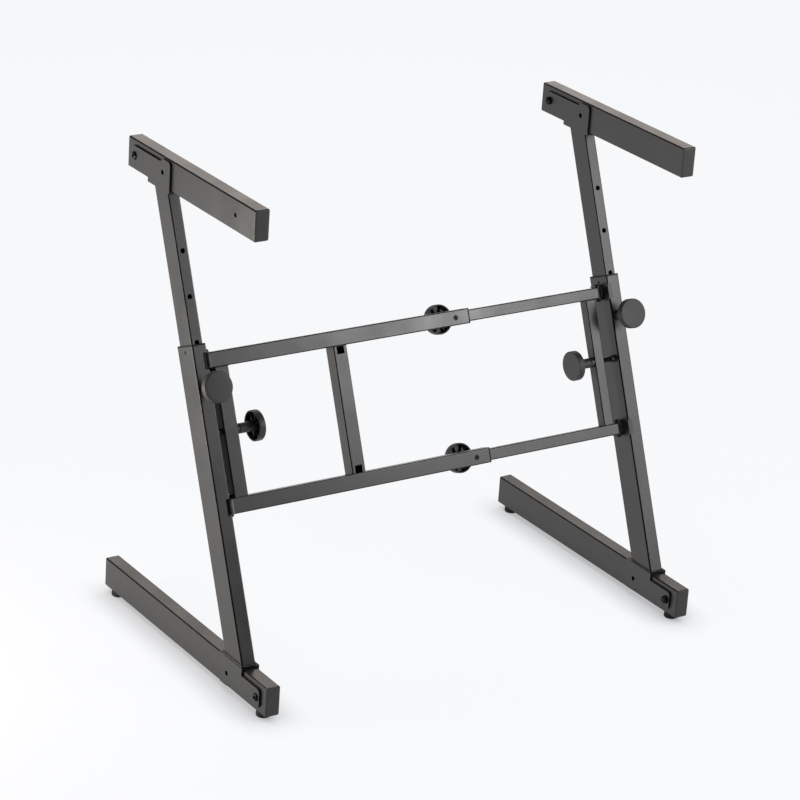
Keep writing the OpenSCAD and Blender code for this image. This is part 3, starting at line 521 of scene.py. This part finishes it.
# %% Heads, shanks and nuts
COLUMNS, CHAMFER, STEM_CHAMFER = 48, 0.3, 0.5
HEAD_EDGE, DOME_SPAN, DOME_ROWS = 0.22, 0.80, 9
SOCKET_RIM, SOCKET_LAND, SOCKET_BEVEL, DRILL_POINT = 0.8, 0.15, 0.5, 0.8
NUT_RISE = (0, 0, 0.12, 0.55, 0.74, 0.80, 0.86, 0.94, 1.0, 1.0)
NUT_FACE, NUT_TOP, COLLAR_SHOULDER, COLLAR_TOP = 0.95, 0.97, 0.96, 0.86


def domed_head(radius, high, socket_r, socket_deep):
    """Head standing on height 0: a quarter ellipse over a short edge, and a hexagon socket."""
    edge = high * HEAD_EDGE
    turn = np.linspace(0, DOME_SPAN, DOME_ROWS) * np.pi / 2
    dome = np.stack((radius * np.cos(turn), edge + (high - edge) * np.sin(turn)), -1)
    dome = np.concatenate(([(0, 0), (radius - CHAMFER, 0), (radius, CHAMFER)], dome))
    outlines = list(dome[:, :1, None] * circle(COLUMNS))
    heights = list(dome[:, 1])
    if socket_r:
        rim = (radius + socket_r) / 2 * SOCKET_RIM
        top = edge + (high - edge) * math.sqrt(1 - (rim / radius) ** 2)
        keep = [i for i, r in enumerate(dome[:, 0]) if i < 3 or r > rim]
        outlines, heights = [outlines[i] for i in keep], [heights[i] for i in keep]
        outlines += [rim * circle(COLUMNS), (socket_r + SOCKET_BEVEL) * hexagon(COLUMNS),
                     socket_r * hexagon(COLUMNS), socket_r * hexagon(COLUMNS), 0 * circle(COLUMNS)]
        heights += [top, high - SOCKET_LAND, high - SOCKET_BEVEL, high - socket_deep,
                    high - socket_deep - DRILL_POINT]
    else:
        outlines.append(0 * circle(COLUMNS))
        heights.append(high)
    return stack(outlines, heights)


def hexagon_nut(radius, high, ring_r):
    """Nut standing on height 0: a hexagon cut by a cone at both ends, with a collar on top."""
    corner = radius / math.cos(TURN / 12)
    heights = np.array(NUT_RISE) * high
    cone = np.array((0, radius * NUT_FACE, corner, corner, radius * NUT_TOP, ring_r, ring_r,
                     ring_r * COLLAR_SHOULDER, ring_r * COLLAR_TOP, 0))
    ring = hexagon(COLUMNS) * radius
    size = np.linalg.norm(ring, axis=-1)
    share = np.minimum(1, cone[:, None] / size[None])
    return stack(share[..., None] * ring, heights)


def stem(radius, low, high):
    """Plain shank with softened ends."""
    inner, above, below = radius - STEM_CHAMFER, low + STEM_CHAMFER, high - STEM_CHAMFER
    return revolve([(0, low), (inner, low), (radius, above), (radius, below), (inner, high),
                    (0, high)], COLUMNS)


# %% Pivot bolts and hinge pins
BOLT_R, HEAD_R, HEAD_H, SOCKET_R, SOCKET_DEEP = 4.0, 7.0, 3.6, 2.5, 2.0
NUT_R, NUT_H, RING_R, BOLT_END = 6.5, 6.0, 5.6, 0.2
PIN_R, PIN_HEAD_R, PIN_HEAD_H = 3.0, 5.0, 2.5
PIN_NUT_R, PIN_NUT_H, PIN_RING, PIN_END = 4.33, 3.0, 0.8, 0.4
for side, outward in zip(SIDES, (-1, 1)):
    out = (outward, 0, 0)
    for limb, body in zip(LIMBS, ("leg", "mast")):
        node = f"{side}_{limb}_pivot_bolt"
        at = np.array(joints[f"{side}_{limb}_fold"]["pos_m"]) / MM
        low, high = reach(node, at, out)
        bolt = [put(domed_head(HEAD_R, HEAD_H, SOCKET_R, SOCKET_DEEP),
                    at + np.array(out) * (high - HEAD_H), out, UP_LEG),
                put(stem(BOLT_R, low, high - HEAD_H), at, out, UP_LEG),
                put(hexagon_nut(NUT_R, NUT_H - BOLT_END, RING_R), at + np.array(out) * (low + NUT_H),
                    (-outward, 0, 0), UP_LEG)]
        make_piece(node + "_turned", bolt, plated, f"{side}_{body}", (node,))
    pins = []
    for half in HALVES:
        low, high = leg_box(side + "_hinge_pins", half)
        middle = on_leg((low[0] + high[0]) / 2, (low[1] + high[1]) / 2, 0)
        pins += [put(domed_head(PIN_HEAD_R, PIN_HEAD_H, 0, 0),
                     middle + UP_LEG * (high[2] - PIN_HEAD_H), UP_LEG),
                 put(stem(PIN_R, low[2], high[2] - PIN_HEAD_H), middle, UP_LEG),
                 put(hexagon_nut(PIN_NUT_R, PIN_NUT_H - PIN_END, PIN_NUT_R * PIN_RING),
                     middle + UP_LEG * (low[2] + PIN_NUT_H), -UP_LEG)]
    make_piece(side + "_hinge_pins_turned", pins, plated, side + "_leg",
               (side + "_hinge_pins",))

# %% Shapes of caps and pads
CAP_T, CAP_PLUG, CAP_R, WALL, PLUG_WALL = 2.5, 14.0, 2.5, 1.6, 2.0
PLUG_BEVEL, PLUG_TIP, SHARPEST = 1.5, 0.6, 0.05
# The face's pillow and soft edge: how far in from the outline, and how far below the face
PILLOW = ((5, 0), (2.2, 0.08), (1.2, 0.25), (0.5, 0.6), (0.12, 1.1), (0, 1.7))
RECESS_R, RECESS_DEEP, RECESS_FLARE, PAD_BEVEL, PAD_BEVEL_H = 4.0, 2.2, 0.6, 1, 1.4
PAD_GROOVE, PAD_STEP, PAD_TAPER, GROOVE_RISE = 0.7, 0.1, 0.8, (0.42, 0.5, 0.58)
PAD_ROUNDS = (0.4, 0.5, 1.0, 0.6, 0.4, 0.4, 0.4, 0.5)


def end_cap(a, b):
    """Cap with its face at height 0: pillowed face, soft edge, collar, and a hollow plug."""
    deep = CAP_T + CAP_PLUG
    inset = [(a / 2, 0), *PILLOW, (0, CAP_T), (WALL, CAP_T), (WALL, deep - PLUG_BEVEL),
             (WALL + PLUG_TIP, deep), (WALL + PLUG_WALL, deep), (WALL + PLUG_WALL, CAP_T),
             (a / 2, CAP_T)]
    rows = [round_rect(a - 2 * i, b - 2 * i, min(max(CAP_R - i, SHARPEST), a / 2 - i))
            for i, _ in inset]
    return stack(rows, [h for _, h in inset])


def floor_pad(radius, high):
    """Pad standing on height 0: hollow for its screw below, a groove round it, tapering upwards."""
    below, middle, above = (high * share for share in GROOVE_RISE)
    return revolve(soften([(0, RECESS_DEEP), (RECESS_R, RECESS_DEEP), (RECESS_R + RECESS_FLARE, 0),
                           (radius - PAD_BEVEL, 0), (radius, PAD_BEVEL_H), (radius, below),
                           (radius - PAD_GROOVE, middle), (radius - PAD_STEP, above),
                           (radius - PAD_TAPER, high), (0, high)], PAD_ROUNDS))


# %% Caps on the tubes' ends and pads under the feet
for side in SIDES:
    for limb in LIMBS:
        node = f"{side}_{limb}_end_caps"
        low, high = (np.array(corner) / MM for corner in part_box(node))
        middle = (low + high) / 2
        a, b = high[0] - low[0], high[2] - low[2]
        caps = [put(end_cap(a, b), (middle[0], low[1], middle[2]), (0, 1, 0)),
                put(end_cap(a, b), (middle[0], high[1], middle[2]), (0, -1, 0))]
        make_piece(node + "_moulding", caps, moulded, f"{side}_{limb}", (node,))
    node = side + "_foot_pads"
    low, high = (np.array(corner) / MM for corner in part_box(node))
    r = (high[0] - low[0]) / 2
    pads = [put(floor_pad(r, high[2] - low[2]), (low[0] + r, y, low[2]), (0, 0, 1))
            for y in (low[1] + r, high[1] - r)]
    make_piece(node + "_moulding", pads, rubber, side + "_foot", (node,))

# %% [markdown]
# ## Weld beads
#
# A bead is a round string swept along the closed line where two pieces meet. Its radius swells
# and shrinks with the distance along the line, as the welder's hand leaves it. Bump in the paint
# would be flat where a bead stands out against the floor, so each bead is its own surface.

# %% A bead along a line
RIPPLE_MM, RIPPLE_SHARE, RIPPLE_MEAN = 2.4, 0.16, 0.8
STEP_MM, AHEAD_STEPS, BEAD_COLUMNS = 0.6, 2, 10


def bead(line, radius):
    """Rippled string along a closed line of points that lies in one plane."""
    closed = np.concatenate((line, line[:1]))
    gone = np.concatenate(([0], np.cumsum(np.linalg.norm(np.diff(closed, axis=0), axis=1))))
    at = np.linspace(0, gone[-1], int(gone[-1] / STEP_MM), endpoint=False)
    path = np.stack([np.interp(at, gone, closed[:, i]) for i in range(3)], -1)
    ahead = np.roll(path, -AHEAD_STEPS, 0) - np.roll(path, AHEAD_STEPS, 0)
    ahead = ahead / np.linalg.norm(ahead, axis=1)[:, None]
    plane = np.cross(ahead[0], ahead[len(ahead) // 4])
    plane = plane / np.linalg.norm(plane)
    ripple = np.abs(np.sin(np.pi * at / RIPPLE_MM)) - RIPPLE_MEAN
    swell = radius * (1 + RIPPLE_SHARE * ripple)
    turn = np.arange(BEAD_COLUMNS) * TURN / BEAD_COLUMNS
    ring = (np.cos(turn)[None, :, None] * np.cross(ahead, plane)[:, None]
            + np.sin(turn)[None, :, None] * plane)
    string = path[:, None] + swell[:, None, None] * ring
    return np.concatenate((string, string[:1]))


# %% Lines round tubes and plates
TUBE_CORNER_R, PLATE_CORNER_R, LEG_CORNER, BEAD_INSET = 2, 1, 3, 0.5


def tube_outline(node):
    """A leaning tube's outline, square to the leg: places across and back."""
    low, high = leg_box(node)
    line = round_rect(high[0] - low[0], high[1] - low[1], TUBE_CORNER_R)
    return (line + (low[:2] + high[:2]) / 2).T


def round_tube(node, up):
    """Line round a leaning tube, at one height up the leg."""
    return on_leg(*tube_outline(node), up)


def round_cut(node, level):
    """Line round a leaning tube where a level plane cuts it."""
    flat = on_leg(*tube_outline(node), 0)
    return flat + UP_LEG * ((level - flat[:, 2]) / UP_LEG[2])[:, None]


def round_plate(node, half):
    """Line round the plate of a hinge bracket, on the leg's inner face."""
    low, high = leg_box(node, half)
    leg_low, leg_high = leg_box(node.replace("hinge_brackets", "leg_tube"))
    inner = leg_high[0] if node.startswith("left") else leg_low[0]
    back = np.array((max(low[1], leg_low[1] + LEG_CORNER), high[1] - BEAD_INSET))
    line = round_rect(back[1] - back[0], high[2] - low[2] - 2 * BEAD_INSET, PLATE_CORNER_R)
    return on_leg(inner, line[:, 0] + back.mean(), line[:, 1] + (low[2] + high[2]) / 2)


# %% Lay the beads
LEG_BEAD, MAST_BEAD, PLATE_BEAD, POST_BEAD = 1.8, 1.6, 1.0, 0.9
for side in SIDES:
    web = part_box(side + "_leg_tube")[0].z / MM
    beads = [bead(round_cut(side + "_leg_tube", web), LEG_BEAD)]
    # Round the hinge plates the beads are welds and also a painted shadow line along the plates' edges
    beads += [bead(round_plate(side + "_hinge_brackets", half), PLATE_BEAD) for half in HALVES]
    make_piece(side + "_leg_weld_beads", beads, small_coat, side + "_leg")
    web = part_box(side + "_mast_tube")[1].z / MM
    make_piece(side + "_mast_weld_bead", [bead(round_cut(side + "_mast_tube", web), MAST_BEAD)],
               small_coat, side + "_mast")
for body, posts in (("frame", ("left_post", "middle_post")), ("right_frame", ("right_post",))):
    ends = [(post, leg_box(post)[k][2]) for post in posts for k in (0, 1)]
    make_piece(body + "_weld_beads", [bead(round_tube(post, up), POST_BEAD) for post, up in ends],
               small_coat, body)

# %% [markdown]
# ## Nose plates
#
# The two outer crossbars end just short of the left leg, and a pale strip shows in that gap: a
# small plate, pressed to a soft crown, closes the front of each tube's end. Its pale colour is a
# painted highlight for the light that falls on the ends in that gap. It could be a bevelled box, but
# the crown is what catches the light, so it is drawn as one swelling surface.

# %% Nose plates
NOSE_GAP, NOSE_D, NOSE_CROWN, NOSE_CORNER_R, NOSE_INSET = 5.0, 10.0, 2.5, 3.0, 0.3
NOSE_ROWS = 11


def crowned_plate(a, b, r, high):
    """Crown on a round rectangle: its outlines shrink by a quarter ellipse as they rise."""
    turn = np.linspace(0, 1, NOSE_ROWS) * TURN / 4
    share = np.concatenate(([0], np.cos(turn)))
    rise = np.concatenate(([0], np.sin(turn)))
    return stack(share[:, None, None] * round_rect(a, b, r), high * rise)


noses = []
for bar in ("upper_outer_crossbar", "lower_outer_crossbar"):
    low, high = leg_box(bar)
    at = on_leg(leg_box("left_leg_tube")[1][0] + NOSE_GAP, low[1] + NOSE_D / 2,
                (low[2] + high[2]) / 2)
    nose = crowned_plate(high[2] - low[2] - 2 * NOSE_INSET, NOSE_D, NOSE_CORNER_R, NOSE_CROWN)
    noses.append(put(nose, at, (-1, 0, 0), UP_LEG))
make_piece("crossbar_nose_plates", noses, nose_highlight, "frame")

# %% [markdown]
# ## Studio
#
# The floor glows in the background's own pale tone and takes only soft shadows. Close to a foot,
# where part of the sky is hidden, its glow is turned down: a painted contact shadow. The paint's
# greys are reflections: a soft box at the front right and a small near one for the front faces, one
# at the rear right for the tops, a small, faintly warm one low at the left for the outer faces. The
# surround is dim behind the camera, so that the corners between the faces stay dark.

# %% Soft lights
# Name, place, aim and size in metres, watts and colour
LIGHTS = (("front_right", (2.5, -2.6, 1.6), (0, 0, 0.4), (1.6, 2.2), 39, "#ffffff"),
          ("front_near", (0.9, -1.3, 1.1), (0.1, 0, 0.5), (0.5, 0.5), 6.7, "#ffffff"),
          ("rear_right", (1.6, 2.6, 1.9), (0, 0, 0.4), (2.4, 1.4), 16.5, "#fff3e8"),
          ("left_low", (-1.2, 0.3, 0.35), (-0.4, -0.1, 0.4), (0.5, 0.5), 13, "#fff6ea"))


def area_light(name, at, aim, size, power, colour):
    """Rectangular soft light at one point, turned to face another."""
    lamp = bpy.data.lights.new(name, "AREA")
    lamp.shape = "RECTANGLE"
    lamp.size, lamp.size_y = size
    lamp.energy = power
    lamp.color = linear(colour)[:3]
    lit = bpy.data.objects.new(name, lamp)
    lit.location = at
    lit.rotation_euler = (Vector(at) - Vector(aim)).to_track_quat("Z", "Y").to_euler()
    bpy.context.scene.collection.objects.link(lit)
    print(f"{name:12} {power:5} W")


for light in LIGHTS:
    area_light(*light)

# %% Floor
PALE = "#f8f9fb"
FLOOR_HALF = 30.0
FLOOR_GLOW, FLOOR_MATTE = 0.95, 0.08
# How far from a foot, and how deeply, the glow is turned down into a painted contact shadow
PAINTED_SHADOW_REACH, PAINTED_SHADOW_GLOW_SHARE, PAINTED_SHADOW_SPAN, PAINTED_SHADOW_SAMPLES = 0.06, 0.5, (0.3, 0.98), 12


def make_floor():
    """Plain floor: mostly its own glow, dimmed near the feet into a painted contact shadow, with a small matte
    share that takes the shadows.
    """
    corners = [(-FLOOR_HALF, -FLOOR_HALF, 0), (FLOOR_HALF, -FLOOR_HALF, 0),
               (FLOOR_HALF, FLOOR_HALF, 0), (-FLOOR_HALF, FLOOR_HALF, 0)]
    mesh = bpy.data.meshes.new("floor")
    mesh.from_pydata(corners, [], [(0, 1, 2, 3)])
    floor = bpy.data.objects.new("floor", mesh)
    bpy.context.scene.collection.objects.link(floor)
    material = bpy.data.materials.new("pale_floor")
    material.use_nodes = True
    tree = material.node_tree
    tree.nodes.clear()
    # Ambient occlusion dims the glow beside the feet: a painted contact shadow
    painted_shadow_occlusion = add(tree, "AmbientOcclusion", {"Distance": PAINTED_SHADOW_REACH}, samples=PAINTED_SHADOW_SAMPLES)
    lit = mapped(tree, painted_shadow_occlusion.outputs["AO"], *PAINTED_SHADOW_SPAN, FLOOR_GLOW * PAINTED_SHADOW_GLOW_SHARE, FLOOR_GLOW)
    glow = add(tree, "Emission", {"Color": linear(PALE), "Strength": lit})
    matte = add(tree, "BsdfDiffuse", {"Color": linear(PALE, FLOOR_MATTE)})
    both = add(tree, "AddShader", {0: glow.outputs[0], 1: matte.outputs[0]})
    out = add(tree, "OutputMaterial")
    tree.links.new(both.outputs[0], out.inputs["Surface"])
    mesh.materials.append(material)
    floor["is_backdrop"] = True
    print("floor", 2 * FLOOR_HALF, "m wide, glowing at", FLOOR_GLOW)


make_floor()

# %% Surround
DIM_WAY, DIM_SPAN, SKY_GLOW = (-0.62, -0.75, 0.22), (0.15, 0.85), 0.4


def make_surround():
    """Pale surround that is dim towards the front left."""
    world = bpy.data.worlds.new("surround")
    bpy.context.scene.world = world
    world.use_nodes = True
    tree = world.node_tree
    way = add(tree, "TexCoord").outputs["Generated"]
    near = add(tree, "VectorMath", {0: way, 1: DIM_WAY}, operation="DOT_PRODUCT").outputs["Value"]
    surface = tree.nodes["Background"]
    surface.inputs["Color"].default_value = linear(PALE)
    tree.links.new(mapped(tree, near, *DIM_SPAN, SKY_GLOW, 0.0), surface.inputs["Strength"])
    print("surround dimmed towards", DIM_WAY)


make_surround()
bpy.context.scene.view_settings.view_transform = "Standard"

# %% [markdown]
# ## Sizes
#
# The box round everything is measured on the bare frame and again on the dressed stand, so that a
# piece that grew or slipped shows as a difference. Both are kept in sizes and printed.

# %% Sizes and finish
sizes = {"cad": [list(corner) for corner in cad_box],
         "visual": [list(corner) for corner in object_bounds()]}
for kind, (low, high) in sizes.items():
    print(f"{kind:6} box:", *(round((b - a) / MM, 1) for a, b in zip(low, high)), "mm")
